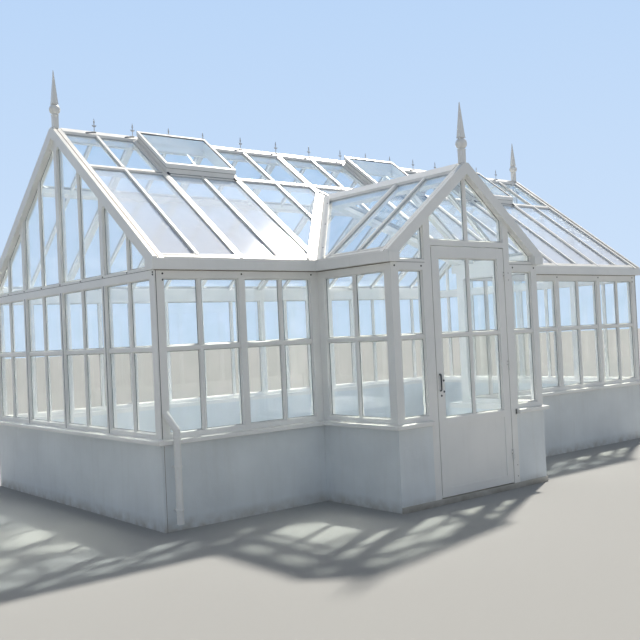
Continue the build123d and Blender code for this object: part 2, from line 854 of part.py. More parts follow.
def gable_nodes():
    left, left_panes = main_gable(LEFT)
    right, right_panes = main_gable(RIGHT)
    porch, porch_panes = porch_gable()
    return {
        "gable_left": left,
        "gable_right": right,
        "porch_gable": porch,
        "gable_glass": [left_panes, right_panes, porch_panes],
        "gable_finials": gable_finials(),
    }


def roof_nodes():
    front_rafters, front_rails, front_bars, front_panes = front_roof()
    rear_rafters, rear_rails, rear_bars, rear_panes = rear_roof()
    porch_names = ("porch_rafters", "porch_roof_rails", "porch_roof_bars", "porch_roof_glass")
    porch_parts = porch_roof_left()
    below, above = below_and_above_purlin(front_panes.solids() + rear_panes.solids())
    left = valley_left()
    return {
        "main_rafters": [front_rafters, rear_rafters],
        "main_roof_rails": [front_rails, rear_rails],
        "main_roof_bars": [front_bars, rear_bars],
        "roof_glass_lower": below,
        "roof_glass_upper": above,
        **{name: [part, to_right_of_porch(part)] for name, part in zip(porch_names, porch_parts)},
        "valley_left": left,
        "valley_right": to_right_of_porch(left),
        "main_ridge": main_ridge(),
        "porch_ridge": porch_ridge(),
        "vent_kerbs": vent_kerbs(),
        "vent_sashes": vent_sashes(),
        "vent_glass": vent_glass(),
        "ridge_cresting": ridge_cresting(),
    }


def rain_nodes():
    side_end = porch_projection + gutter_end
    return {
        "main_gutters": [
            gutter(FRONT_LEFT, start=-gutter_end),
            gutter(FRONT_RIGHT, end=right_length + gutter_end),
            gutter(REAR, -gutter_end, house_length + gutter_end),
        ],
        "porch_gutters": [gutter(PORCH_LEFT, end=side_end), gutter(PORCH_RIGHT, start=-gutter_end)],
        "downpipe": downpipe(),
    }


def write(name, part):
    """One file for a node, whose solids may be given as a list."""
    parts = part if isinstance(part, list) else [part]
    solids = [solid for item in parts for solid in item.solids()]
    export_step(Compound(children=solids, label=name), f"parts/{name}.step")


os.makedirs("parts", exist_ok=True)
all_nodes = {**wall_nodes(), **door_nodes(), **gable_nodes(), **roof_nodes(), **rain_nodes()}
for node_name, node_part in all_nodes.items():
    write(node_name, node_part)
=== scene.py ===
import bmesh
import bpy
import numpy as np
from mathutils import Matrix


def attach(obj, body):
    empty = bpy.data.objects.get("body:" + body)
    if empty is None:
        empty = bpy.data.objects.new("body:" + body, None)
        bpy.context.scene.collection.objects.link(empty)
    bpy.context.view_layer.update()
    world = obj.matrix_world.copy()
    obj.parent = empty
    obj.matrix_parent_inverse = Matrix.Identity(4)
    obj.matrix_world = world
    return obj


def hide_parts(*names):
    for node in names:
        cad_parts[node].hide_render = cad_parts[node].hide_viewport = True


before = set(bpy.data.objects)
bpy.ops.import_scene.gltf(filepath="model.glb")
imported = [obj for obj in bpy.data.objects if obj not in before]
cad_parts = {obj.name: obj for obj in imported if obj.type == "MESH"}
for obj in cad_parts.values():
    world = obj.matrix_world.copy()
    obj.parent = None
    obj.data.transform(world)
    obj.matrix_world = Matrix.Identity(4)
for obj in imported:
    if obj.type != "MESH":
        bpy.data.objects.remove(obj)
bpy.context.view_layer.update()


# Dwarf walls
# Masonry under a steel-trowelled cement render, painted with matt masonry paint.
# Rain splashes soil on its foot and leaves faint runs below the sills.

def linear(colour):
    """A hex sRGB colour as linear light: c / 12.92 where dark, otherwise ((c + 0.055) / 1.055) ** 2.4."""
    shown = np.array([int(colour[k:k + 2], 16) for k in (1, 3, 5)]) / 255
    light = np.where(shown <= 0.04045, shown / 12.92, ((shown + 0.055) / 1.055) ** 2.4)
    return (*light, 1.0)


def add_node(tree, kind, inputs=None, **settings):
    """Adds a shader node. An input given as another node's output is joined to it, and any other is set."""
    made = tree.nodes.new("ShaderNode" + kind)
    for name, value in settings.items():
        setattr(made, name, value)
    for name, value in (inputs or {}).items():
        if isinstance(value, bpy.types.NodeSocket):
            tree.links.new(value, made.inputs[name])
        else:
            made.inputs[name].default_value = value
    return made


def new_material(name, even):
    """A material with one Principled shader, whose even values are set on its own sockets."""
    made = bpy.data.materials.new(name)
    made.use_nodes = True
    shader = made.node_tree.nodes["Principled BSDF"]
    for socket, value in even.items():
        shader.inputs[socket].default_value = value
    return made, made.node_tree, shader


def blotches(tree, spot, low=0.35, high=0.65, stretch=(1, 1, 1), detail=3.0):
    """A share from 0 to 1 that changes in blotches about spot metres across, times stretch on each axis:
    noise from low to high becomes 0 to 1, and what lies outside them is 0 or 1."""
    place = add_node(tree, "TexCoord").outputs["Object"]
    scale = [1 / (spot * s) for s in stretch]
    sized = add_node(tree, "Mapping", {"Vector": place, "Scale": scale}).outputs["Vector"]
    noise = add_node(tree, "TexNoise", {"Vector": sized, "Scale": 1.0, "Detail": detail}).outputs[0]
    spread = add_node(tree, "MapRange", {"Value": noise, "From Min": low, "From Max": high})
    return spread.outputs["Result"]


def between_heights(tree, low, high):
    """A share that is 1 below one height and 0 above the other."""
    place = add_node(tree, "TexCoord").outputs["Object"]
    height = add_node(tree, "SeparateXYZ", {"Vector": place}).outputs["Z"]
    fall = {"Value": height, "From Min": low, "From Max": high, "To Min": 1.0, "To Max": 0.0}
    return add_node(tree, "MapRange", fall).outputs["Result"]


def layered(tree, shader, colour, *layers):
    """A base colour with others over it. A layer is a colour and the shares that multiply into its cover."""
    under = linear(colour)
    for over, cover, *shares in layers:
        for share in shares:
            cover = add_node(tree, "Math", {0: cover, 1: share}, operation="MULTIPLY").outputs[0]
        under = add_node(tree, "Mix", {0: cover, 6: under, 7: linear(over)}, data_type="RGBA").outputs[2]
    tree.links.new(under, shader.inputs["Base Color"])


def relief(tree, shader, *layers):
    """Low relief, one layer on another. A layer is a height share and its depth in metres."""
    below = {}
    for share, depth in layers:
        bump = add_node(tree, "Bump", {"Height": share, "Distance": depth, **below})
        below = {"Normal": bump.outputs["Normal"]}
    tree.links.new(bump.outputs["Normal"], shader.inputs["Normal"])


def dress(material, *names):
    """Gives CAD nodes their finish through their own material slots."""
    for name in names:
        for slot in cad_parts[name].material_slots:
            slot.material = material


def masonry_paint(name, clean, worn, soil, splash):
    """Painted render: quite matt, so it shades evenly, with worn patches 450 mm across and runs 50 mm wide.
    Trowel waves 150 mm apart break up the light, and 1 mm grit is drawn at 6 mm so that it shows. Soil
    lies in splashes 90 mm across, up to the splash height."""
    made, tree, shader = new_material(name, {"Roughness": 0.88, "Specular IOR Level": 0.3})
    runs = blotches(tree, 0.05, low=0.5, high=0.85, stretch=(1, 1, 9))
    splashes = blotches(tree, 0.09, low=0.2, high=0.8)
    layered(tree, shader, clean, (worn, blotches(tree, 0.45)), (soil, runs, 0.1),
            (soil, between_heights(tree, 0.0, splash), splashes))
    waves = blotches(tree, 0.15, low=0, high=1)
    grit = blotches(tree, 0.006, low=0, high=1)
    relief(tree, shader, (waves, 0.004), (grit, 0.0012))
    return made


wall_paint = masonry_paint("matt_masonry_paint_on_trowelled_render", clean="#E9EFF2", worn="#E0E6E9",
                           soil="#B4AFA3", splash=0.10)
dress(wall_paint, "side_dwarf_walls", "front_and_rear_dwarf_walls")


# Porch plinth
# A concrete kerb under the porch front and the door, painted in the same masonry paint.
# Feet wear it, so it is darker and dirtier than the walls.

plinth_paint = masonry_paint("worn_masonry_paint_on_concrete_kerb", clean="#C9C7C1", worn="#B3B0A8",
                             soil="#8F897C", splash=0.05)
dress(plinth_paint, "porch_plinth")


# Sills and wall frames
# Extruded aluminium with a white polyester powder coat, bolted together at the heads of the posts.
# Beads and rubber gaskets hold the glass, and rubber or sealant closes the joints. Dark strips under the
# gutters, along the gable bases and at the corners paint shadow lines.

def powder_coat(name, clean, worn, dust, roughness):
    """Powder coat: a soft sheen that varies over 120 mm, with worn patches 600 mm across and 2 mm orange
    peel that is drawn at 8 mm so that it shows. Rain leaves runs 30 mm wide, and dust lies on upward
    faces in patches 70 mm wide."""
    made, tree, shader = new_material(name, {"IOR": 1.5, "Coat Weight": 0.15, "Coat Roughness": 0.25})
    runs = blotches(tree, 0.03, low=0.55, high=0.85, stretch=(1, 1, 14))
    facing = add_node(tree, "NewGeometry").outputs["Normal"]
    up = add_node(tree, "SeparateXYZ", {"Vector": facing}).outputs["Z"]
    lying = add_node(tree, "MapRange", {"Value": up, "From Min": 0.55, "From Max": 0.98}).outputs["Result"]
    dusty = blotches(tree, 0.07, low=0.3, high=0.75)
    layered(tree, shader, clean, (worn, blotches(tree, 0.6)), (dust, runs, 0.1), (dust, lying, dusty, 0.3))
    smooth, rough = roughness
    sheen = add_node(tree, "MapRange", {"Value": blotches(tree, 0.12), "To Min": smooth, "To Max": rough})
    tree.links.new(sheen.outputs["Result"], shader.inputs["Roughness"])
    peel = blotches(tree, 0.008, low=0, high=1, detail=1.0)
    relief(tree, shader, (peel, 0.00025))
    return made


white_coat = powder_coat("white_powder_coated_aluminium", clean="#F4F4F1", worn="#EAEBE9", dust="#C4C1B8",
                         roughness=(0.3, 0.42))
dress(white_coat, "side_sills", "front_and_rear_sills", "side_wall_frames", "front_and_rear_wall_frames")


def grid_faces(shape, looped=False):
    """Faces of (copies, rows, columns) corners. Columns close into a ring. Rows do too if looped, and
    otherwise both ends are filled."""
    index = np.arange(np.prod(shape[:3])).reshape(shape[:3])
    ring = np.roll(index, -1, axis=2)
    if looped:
        quads = np.stack([index, ring, np.roll(ring, -1, axis=1), np.roll(index, -1, axis=1)], axis=-1)
        return quads.reshape(-1, 4).tolist()
    quads = np.stack([index[:, :-1], ring[:, :-1], ring[:, 1:], index[:, 1:]], axis=-1)
    return quads.reshape(-1, 4).tolist() + index[:, [0, -1]].reshape(-1, shape[2]).tolist()


CRISP_EDGE = 0.6


def add_piece(name, points, material, body, faces=None):
    """A piece from a grid of corners, or from loose corners and their faces. Corners that coincide are
    merged, faces are turned outwards, and edges that bend by more radians than CRISP_EDGE stay crisp."""
    mesh = bpy.data.meshes.new(name)
    mesh.from_pydata(points.reshape(-1, 3).tolist(), [], faces or grid_faces(points.shape))
    shell = bmesh.new()
    shell.from_mesh(mesh)
    bmesh.ops.remove_doubles(shell, verts=shell.verts, dist=1e-6)
    bmesh.ops.recalc_face_normals(shell, faces=shell.faces)
    shell.to_mesh(mesh)
    shell.free()
    mesh.shade_smooth()
    mesh.set_sharp_from_angle(angle=CRISP_EDGE)
    piece = bpy.data.objects.new(name, mesh)
    bpy.context.scene.collection.objects.link(piece)
    mesh.materials.append(material)
    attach(piece, body)
    return piece


def unit(vectors):
    """Vectors divided by their own lengths."""
    return vectors / np.linalg.norm(vectors, axis=-1, keepdims=True)


def strip_section(width, height, sunk, top=None):
    """A strip's section: width at its foot and top at its face, height proud of what it lies on and
    sunk into it. The face is as wide as the foot unless top is given."""
    half, half_top = width / 2, (top or width) / 2
    return [(-half, -sunk), (half, -sunk), (half_top, height), (-half_top, height)]


def carried(section, starts, ends, ups):
    """A section carried straight from each start to its end. A section point (a, b) lies at
    place + a * across + b * up, where across is the run's direction times up."""
    starts, ends, section = np.array(starts, float), np.array(ends, float), np.array(section, float)
    ups = unit(np.broadcast_to(np.array(ups, float), starts.shape))
    across = unit(np.cross(ends - starts, ups))
    offset = section[:, :1] * across[:, None] + section[:, 1:] * ups[:, None]
    return np.stack([starts[:, None] + offset, ends[:, None] + offset], axis=1)


def turned(profile, sides, places, axes):
    """A turned shape at each place: a profile point (radius, height) becomes a ring round the axis."""
    places, profile = np.array(places, float), np.array(profile, float)
    axes = unit(np.broadcast_to(np.array(axes, float), places.shape))
    helper = np.where(np.abs(axes[:, 2:]) < 0.9, [[0.0, 0.0, 1.0]], [[1.0, 0.0, 0.0]])
    across = unit(np.cross(helper, axes))
    angle = np.linspace(0, 2 * np.pi, sides, endpoint=False)[:, None]
    ring = across[:, None] * np.cos(angle) + np.cross(axes, across)[:, None] * np.sin(angle)
    rings = profile[None, :, None, :1] * ring[:, None] + profile[None, :, None, 1:] * axes[:, None, None]
    return places[:, None, None] + rings


def pane_faces(names):
    """Both broad faces of every pane of some CAD nodes, as {corner count: [(outline, facing), ...]}.
    Corners joined by triangles make one pane. Its thinnest direction is its facing, and the corners on
    each side of its middle are put in order by their angle about that direction."""
    found = {}
    for name in names:
        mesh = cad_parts[name].data
        corners = np.empty(len(mesh.vertices) * 3)
        mesh.vertices.foreach_get("co", corners)
        triangles = np.empty(len(mesh.loops), int)
        mesh.loops.foreach_get("vertex_index", triangles)
        corners, merged = np.unique(corners.reshape(-1, 3).round(5), axis=0, return_inverse=True)
        triangles = merged.ravel()[triangles].reshape(-1, 3)
        label, before = np.arange(len(corners)), None
        while before is None or (label != before).any():
            before = label.copy()
            np.minimum.at(label, triangles, label[triangles].min(axis=1)[:, None])
        for pane in np.unique(label):
            own = corners[label == pane]
            middle = own.mean(axis=0)
            axes = np.linalg.svd(own - middle)[2]
            for facing in (axes[2], -axes[2]):
                outline = own[(own - middle) @ facing > 0]
                around = outline - outline.mean(axis=0)
                turn = np.arctan2(around @ np.cross(facing, axes[0]), around @ axes[0])
                found.setdefault(len(outline), []).append((outline[np.argsort(turn)], facing))
    return found


def glazing_strips(name, names, section, material, body):
    """Mitred strips round both faces of every pane. A section point is (distance in from the edge, height
    off the glass). A corner moves in along the sum of its two edges' inward normals over one plus their
    dot product."""
    points, faces, start = [], [], 0
    for panes in pane_faces(names).values():
        outlines = np.array([outline for outline, facing in panes])
        facings = np.array([facing for outline, facing in panes])[:, None]
        after = np.cross(facings, unit(np.roll(outlines, -1, axis=1) - outlines))
        before = np.roll(after, 1, axis=1)
        mitre = (before + after) / (1 + (before * after).sum(axis=-1, keepdims=True))
        shaped = np.array(section)
        inset = shaped[:, :1] * mitre[:, :, None] + shaped[:, 1:] * facings[:, :, None]
        strips = outlines[:, :, None] + inset
        faces += (np.array(grid_faces(strips.shape, looped=True)) + start).tolist()
        points.append(strips.reshape(-1, 3))
        start += len(points[-1])
    return add_piece(name, np.concatenate(points), material, body, faces)


def rubber(name, colour, worn):
    """Extruded rubber or a run of sealant: matt, so it reads as a thin line, with a chalky bloom in
    patches 60 mm long. Its fine skin is drawn at 4 mm."""
    made, tree, shader = new_material(name, {"Roughness": 0.7, "IOR": 1.52})
    layered(tree, shader, colour, (worn, blotches(tree, 0.06)))
    skin = blotches(tree, 0.004, low=0, high=1)
    relief(tree, shader, (skin, 0.0002))
    return made


bead_section = [(0, 0), (0.009, 0), (0.009, 0.002), (0.003, 0.009), (0, 0.009)]
gasket_section = [(0.008, -0.0005), (0.012, -0.0005), (0.012, 0.0014), (0.008, 0.0014)]
grey_rubber_and_shade_strips = rubber("grey_epdm_gasket_and_painted_shade_strips", "#6E7173", "#85888A")
wall_panes = ("side_wall_glass", "front_and_rear_wall_glass")
glazing_strips("wall_glazing_beads", wall_panes, bead_section, white_coat, "house")
glazing_strips("wall_gaskets", wall_panes, gasket_section, grey_rubber_and_shade_strips, "house")

# The outer faces of the walls, the middle lines of both ridges, and the posts and bars of the ends
x_left, x_right, y_front, y_rear = -3.250, 3.250, -1.275, 2.165
left_length, porch_width, porch_projection, end_bays = 1.560, 1.820, 0.900, 8
y_ridge = (y_front + y_rear) / 2
x_porch_left = x_left + left_length
x_porch_right = x_porch_left + porch_width
x_porch = (x_porch_left + x_porch_right) / 2
y_porch = y_front - porch_projection
wall_lines = y_front + (y_rear - y_front) / end_bays * np.arange(1, end_bays)
house_corners = [(x, y) for x in (x_left, x_right) for y in (y_front, y_rear)]
frame_foot = 0.690
eaves = 1.950

# Black rubber, also used for strips that paint shadow lines. A black strip 12 mm in from each main corner
# paints the shadow between the corner post's two faces: painted shade.
black_rubber_and_shadow_lines = rubber("black_epdm_gasket_and_painted_shadow_lines", "#2B2C2E", "#3C3E40")
corner_shadow_section = strip_section(width=0.0044, height=0.0012, sunk=0.002)
corner_shadow_inset, corner_shadow_length = 0.012, 1.258
corner_feet = np.array([(x - np.sign(x) * corner_shadow_inset, y, frame_foot) for x, y in house_corners])
corner_outward = [(0, np.sign(y), 0) for x, y in house_corners]
corner_tops = corner_feet + [0, 0, corner_shadow_length]
corner_shadow_lines = carried(corner_shadow_section, corner_feet, corner_tops, corner_outward)
add_piece("corner_post_painted_shadow_lines", corner_shadow_lines, black_rubber_and_shadow_lines, "house")

post_joint = strip_section(width=0.009, height=0.001, sunk=0.002)
post_joint_shift, post_joint_length = 0.005, 1.198
post_lines = wall_lines[1::2]
post_feet = np.array([(x, y + post_joint_shift * np.sign(x), frame_foot)
                      for x in (x_left, x_right) for y in post_lines])
post_outward = [(np.sign(x), 0, 0) for x, y, z in post_feet]
post_joints = carried(post_joint, post_feet, post_feet + [0, 0, post_joint_length], post_outward)
add_piece("post_joints", post_joints, black_rubber_and_shadow_lines, "house")

# Black strips at eaves height along both end walls and the porch front beside the door head paint the shadow
# line where each gable meets its wall: painted shadow.
head_shadow_section = strip_section(width=0.003, height=0.001, sunk=0.002)
door_head_half = 0.533
head_starts = [(x_left, y_front, eaves), (x_right, y_front, eaves), (x_porch_left, y_porch, eaves),
               (x_porch + door_head_half, y_porch, eaves)]
head_ends = [(x_left, y_rear, eaves), (x_right, y_rear, eaves), (x_porch - door_head_half, y_porch, eaves),
             (x_porch_right, y_porch, eaves)]
head_outward = [(-1, 0, 0), (1, 0, 0), (0, -1, 0), (0, -1, 0)]
head_shadow_lines = carried(head_shadow_section, head_starts, head_ends, head_outward)
add_piece("gable_base_painted_shadow_lines", head_shadow_lines, black_rubber_and_shadow_lines, "house")

# Brown strips on the wall faces just under the gutters paint the shadow that the gutters cast there: painted
# shadow.
brown_painted_shadow = rubber("brown_painted_shadow_line_rubber", "#6B5F52", "#7D7265")
gutter_shadow_section = [(-0.003, -0.001), (0.003, -0.001), (0.001, 0.005), (-0.003, 0.005)]
gutter_shadow_level = 1.947
gutter_plan = np.array([[(x_left, y_front), (x_porch_left, y_front)],
                        [(x_porch_right, y_front), (x_right, y_front)],
                        [(x_left, y_rear), (x_right, y_rear)],
                        [(x_porch_left, y_porch), (x_porch_left, y_front)],
                        [(x_porch_right, y_porch), (x_porch_right, y_front)]])
gutter_runs = np.dstack([gutter_plan, np.full(gutter_plan.shape[:2], gutter_shadow_level)])
gutter_outward = [(0, -1, 0), (0, -1, 0), (0, 1, 0), (-1, 0, 0), (1, 0, 0)]
gutter_shadow_strips = carried(gutter_shadow_section, gutter_runs[:, 0], gutter_runs[:, 1], gutter_outward)
add_piece("gutter_shadow_strips", gutter_shadow_strips, brown_painted_shadow, "house")

# A brown strip up each dwarf wall's corner, 22 mm in, paints the shade line along the corner: painted shade.
dwarf_corner_shade_section = strip_section(width=0.004, height=0.0012, sunk=0.001, top=0.002)
dwarf_corner_shade_inset, dwarf_corner_shade_length = 0.022, 0.638
shade_line_feet = np.array([(x - np.sign(x) * dwarf_corner_shade_inset, y, 0.0) for x, y in house_corners])
dwarf_corner_shade_lines = carried(dwarf_corner_shade_section, shade_line_feet, shade_line_feet + [0, 0, dwarf_corner_shade_length], corner_outward)
add_piece("dwarf_wall_corner_painted_shade_lines", dwarf_corner_shade_lines, brown_painted_shadow, "house")


def steel(name, colour, worn):
    """Zinc-plated and blackened steel: a dark metal, duller where a film lies on it in patches 20 mm long.
    Its shine varies over 10 mm."""
    made, tree, shader = new_material(name, {"Metallic": 0.8})
    layered(tree, shader, colour, (worn, blotches(tree, 0.02)))
    film = add_node(tree, "MapRange", {"Value": blotches(tree, 0.01), "To Min": 0.35, "To Max": 0.6})
    tree.links.new(film.outputs["Result"], shader.inputs["Roughness"])
    return made


# Bolts stand in the heads of the posts, which carry the rafters, and along the beams of the ends
rafter_spacing = 0.780
rafter_lines = np.array([x_left + rafter_spacing, x_porch_left, x_porch,
                         *(x_porch_right + rafter_spacing * np.arange(4))])
end_post_inset, corner_bolt_inset, porch_bolt_inset, jamb_bolt_reach = 0.070, 0.022, 0.040, 0.573
head_bolt_level, lower_bolt_level, beam_bolt_level, corner_bolt_levels = 1.921, 1.874, 1.9615, (1.914, 1.932)
end_posts = [x_left + end_post_inset, x_right - end_post_inset]
front_posts = [end_posts[0], rafter_lines[0], x_porch_left - end_post_inset, x_porch_right + end_post_inset,
               *rafter_lines[4:], end_posts[1]]
rear_posts = [end_posts[0], *rafter_lines, end_posts[1]]
porch_posts = [x_porch_left + porch_bolt_inset, x_porch - jamb_bolt_reach, x_porch + jamb_bolt_reach,
               x_porch_right - porch_bolt_inset]
end_bolts = [(x, y, z) for x in (x_left, x_right)
             for y in (y_front + corner_bolt_inset, y_rear - corner_bolt_inset) for z in corner_bolt_levels]
end_bolts += [(x, y, beam_bolt_level) for x in (x_left, x_right) for y in wall_lines]
front_bolts = [(x, y_front, head_bolt_level) for x in front_posts]
front_bolts += [(x, y_front, lower_bolt_level) for x in end_posts]
rear_bolts = [(x, y_rear, head_bolt_level) for x in rear_posts]
rear_bolts += [(x, y_rear, lower_bolt_level) for x in end_posts]
porch_bolts = [(x, y_porch, head_bolt_level) for x in porch_posts]
bolt_axes = [(np.sign(x), 0, 0) for x, y, z in end_bolts] + [(0, -1, 0)] * len(front_bolts)
bolt_axes += [(0, 1, 0)] * len(rear_bolts) + [(0, -1, 0)] * len(porch_bolts)
bolt_profile = [(0.0075, -0.001), (0.0075, 0.001), (0.0055, 0.001), (0.0055, 0.004), (0.0035, 0.0052),
                (0.0004, 0.0054)]
bolts = turned(bolt_profile, 10, end_bolts + front_bolts + rear_bolts + porch_bolts, bolt_axes)
black_steel = steel("blackened_zinc_plated_steel", "#2A2B2D", "#45464A")
add_piece("frame_bolts", bolts, black_steel, "house")


# Wall glass
# Clear toughened float glass, 4 mm thick, bedded in rubber behind aluminium beads.
# Tempering leaves roller waves about 300 mm apart, and rain leaves a faint film.

def let_lamps_through(tree, shader, lamp_light):
    """Lamp light passes the glass unbent, tinted by a colour of its own, as it passes real thin glass."""
    passing = add_node(tree, "BsdfTransparent", {"Color": linear(lamp_light)})
    ray = add_node(tree, "LightPath").outputs["Is Shadow Ray"]
    both = add_node(tree, "MixShader", {0: ray, 1: shader.outputs[0], 2: passing.outputs[0]})
    tree.links.new(both.outputs[0], tree.nodes["Material Output"].inputs["Surface"])


def pane_glass(name, clean, film, lamp_light, ior):
    """Toughened glass: it shows what is behind it and mirrors the sky, which roller waves 0.15 mm high bend
    a little. The film lies in patches 250 mm across, and smears 80 mm wide are barely duller."""
    made, tree, shader = new_material(name, {"IOR": ior, "Transmission Weight": 1.0})
    layered(tree, shader, clean, (film, blotches(tree, 0.25)))
    smears = blotches(tree, 0.08, low=0.4, high=0.9, stretch=(1, 1, 3))
    dulled = add_node(tree, "MapRange", {"Value": smears, "To Min": 0.0, "To Max": 0.012})
    tree.links.new(dulled.outputs["Result"], shader.inputs["Roughness"])
    waves = blotches(tree, 0.3, low=0, high=1, detail=0.0)
    relief(tree, shader, (waves, 0.00015))
    let_lamps_through(tree, shader, lamp_light)
    return made


wall_glass = pane_glass("clear_toughened_float_glass", clean="#FDFEFE", film="#F7FAF9", lamp_light="#FAFCFB",
                        ior=1.52)
dress(wall_glass, "side_wall_glass", "front_and_rear_wall_glass", "gable_glass", "door_glass")


# Gables
# Welded aluminium triangles over the end walls and the porch, with curved corner webs.
# The rakes are cloaked by two cappings, and a brown strip in the groove between them paints the groove's
# shadow line: painted shadow.

dress(white_coat, "gable_left", "gable_right", "porch_gable")
glazing_strips("gable_glazing_beads", ["gable_glass"], bead_section, white_coat, "house")
glazing_strips("gable_gaskets", ["gable_glass"], gasket_section, grey_rubber_and_shade_strips, "house")

# Rise for each metre in plan, at 37.2 degrees on the house and 38.65 degrees on the porch. A slope
# starts at the outer lip of its gutter. It is (foot at the wall's face, rise inwards, eaves direction).
main_rise, porch_rise = 0.75904, 0.79972
gutter_top, gutter_width = 2.025, 0.050
main_foot = gutter_top + gutter_width * main_rise
porch_foot = gutter_top + gutter_width * porch_rise
FRONT = ((0, y_front, main_foot), (0, 1, main_rise), (1, 0, 0))
REAR = ((0, y_rear, main_foot), (0, -1, main_rise), (1, 0, 0))
PORCH_LEFT = ((x_porch_left, 0, porch_foot), (1, 0, porch_rise), (0, 1, 0))
PORCH_RIGHT = ((x_porch_right, 0, porch_foot), (-1, 0, porch_rise), (0, 1, 0))


def facing_up(slope):
    """The unit vector square to a roof slope, pointing up."""
    normal = unit(np.cross(slope[1], slope[2]))
    return normal * np.sign(normal[2])


def on_slope(slope, along, inward, lift=0.0):
    """Points at a distance along the eaves, one in from the wall's face, and one off the slope's surface:
    foot + inward * rise + along * eaves direction + lift * normal."""
    foot, rise, eaves_line = (np.array(part, float) for part in slope)
    along, inward = np.broadcast_arrays(along, inward)
    return foot + inward[..., None] * rise + along[..., None] * eaves_line + lift * facing_up(slope)


# A brown strip in each rake's groove paints the shadow at the foot of the outer capping's step.
groove_shadow_section = strip_section(width=0.0064, height=0.0015, sunk=0.002)
groove_inset, groove_lift, groove_start = 0.0195, 0.006, -0.044
main_groove_end, porch_groove_end = 1.685, 0.872
grooves = [(slope, x, main_groove_end)
           for slope in (FRONT, REAR) for x in (x_left + groove_inset, x_right - groove_inset)]
grooves += [(slope, y_porch + groove_inset, porch_groove_end) for slope in (PORCH_LEFT, PORCH_RIGHT)]
groove_starts = [on_slope(slope, along, groove_start, groove_lift) for slope, along, end in grooves]
groove_ends = [on_slope(slope, along, end, groove_lift) for slope, along, end in grooves]
groove_ups = [facing_up(slope) for slope, along, end in grooves]
groove_shadow_strips = carried(groove_shadow_section, groove_starts, groove_ends, groove_ups)
add_piece("rake_groove_painted_shadows", groove_shadow_strips, brown_painted_shadow, "house")


# Roof frames
# Deep extruded rafters, rails and glazing bars, powder coated white and cleaned by rain. A raised
# cap strip holds the glass along each rafter, and curved webs stiffen the corners of each opening.

roof_coat = powder_coat("rain_washed_white_powder_coat", clean="#F8F8F6", worn="#F0F1EF", dust="#CFCDC6",
                        roughness=(0.28, 0.38))
dress(roof_coat, "main_rafters", "main_roof_rails", "main_roof_bars", "porch_rafters", "porch_roof_rails",
      "porch_roof_bars", "valley_left", "valley_right", "main_ridge", "porch_ridge")
roof_panes = ("roof_glass_lower", "roof_glass_upper", "porch_roof_glass")
roof_gasket_section = [(0, -0.0005), (0.006, -0.0005), (0.006, 0.003), (0, 0.006)]
pale_rubber = rubber("extruded_pale_grey_silicone_gasket", "#C3C6C8", "#D0D2D3")
glazing_strips("roof_gaskets", roof_panes, roof_gasket_section, pale_rubber, "house")

rake_depth, half_rafter = 0.064, 0.030
eaves_seal = strip_section(width=0.022, height=0.001, sunk=0.001)
eaves_seal_inward, valley_clearance, seal_end_gap = 0.003, 0.110, 0.125
x_inside_left, x_inside_right = x_left + rake_depth, x_right - rake_depth
eaves_runs = [(FRONT, x_inside_left, x_porch_left - valley_clearance),
              (FRONT, x_porch_right + valley_clearance, x_inside_right),
              (REAR, x_inside_left, x_inside_right)]
eaves_runs += [(slope, y_porch + rake_depth, y_front - seal_end_gap) for slope in (PORCH_LEFT, PORCH_RIGHT)]
seal_starts = [on_slope(slope, start, eaves_seal_inward) for slope, start, end in eaves_runs]
seal_ends = [on_slope(slope, end, eaves_seal_inward) for slope, start, end in eaves_runs]
seal_ups = [facing_up(slope) for slope, start, end in eaves_runs]
eaves_seals = carried(eaves_seal, seal_starts, seal_ends, seal_ups)
add_piece("eaves_seals", eaves_seals, pale_rubber, "house")

# A grey strip along each purlin's lower half paints the shade that falls on that part of it: painted shade.
purlin_shade_section = strip_section(width=0.013, height=0.001, sunk=0.001)
purlin_inward = 1.1395
bay_starts = np.concatenate([[x_inside_left], rafter_lines + half_rafter])
bay_ends = np.concatenate([rafter_lines - half_rafter, [x_inside_right]])
purlin_starts = np.concatenate([on_slope(slope, bay_starts, purlin_inward) for slope in (FRONT, REAR)])
purlin_ends = np.concatenate([on_slope(slope, bay_ends, purlin_inward) for slope in (FRONT, REAR)])
purlin_ups = np.repeat([facing_up(FRONT), facing_up(REAR)], len(bay_starts), axis=0)
purlin_shade_strips = carried(purlin_shade_section, purlin_starts, purlin_ends, purlin_ups)
add_piece("purlin_shade_strips", purlin_shade_strips, grey_rubber_and_shade_strips, "house")

# The strips over the porch start where the valleys meet their rafters
cap_strip = strip_section(width=0.030, height=0.005, sunk=0.001, top=0.026)
strip_foot, main_strip_head, porch_strip_head, porch_rafter = -0.018, 1.667, 0.829, 0.745
over_porch = {x_porch_left: 0.13, x_porch: 1.10, x_porch_right: 0.13}
strips = [(FRONT, x, over_porch.get(x, strip_foot), main_strip_head) for x in rafter_lines]
strips += [(REAR, x, strip_foot, main_strip_head) for x in rafter_lines]
strips += [(slope, y_porch + porch_rafter, strip_foot, porch_strip_head)
           for slope in (PORCH_LEFT, PORCH_RIGHT)]
strip_starts = [on_slope(slope, along, low) for slope, along, low, high in strips]
strip_ends = [on_slope(slope, along, high) for slope, along, low, high in strips]
strip_ups = [facing_up(slope) for slope, along, low, high in strips]
cap_strips = carried(cap_strip, strip_starts, strip_ends, strip_ups)
add_piece("rafter_cap_strips", cap_strips, roof_coat, "house")

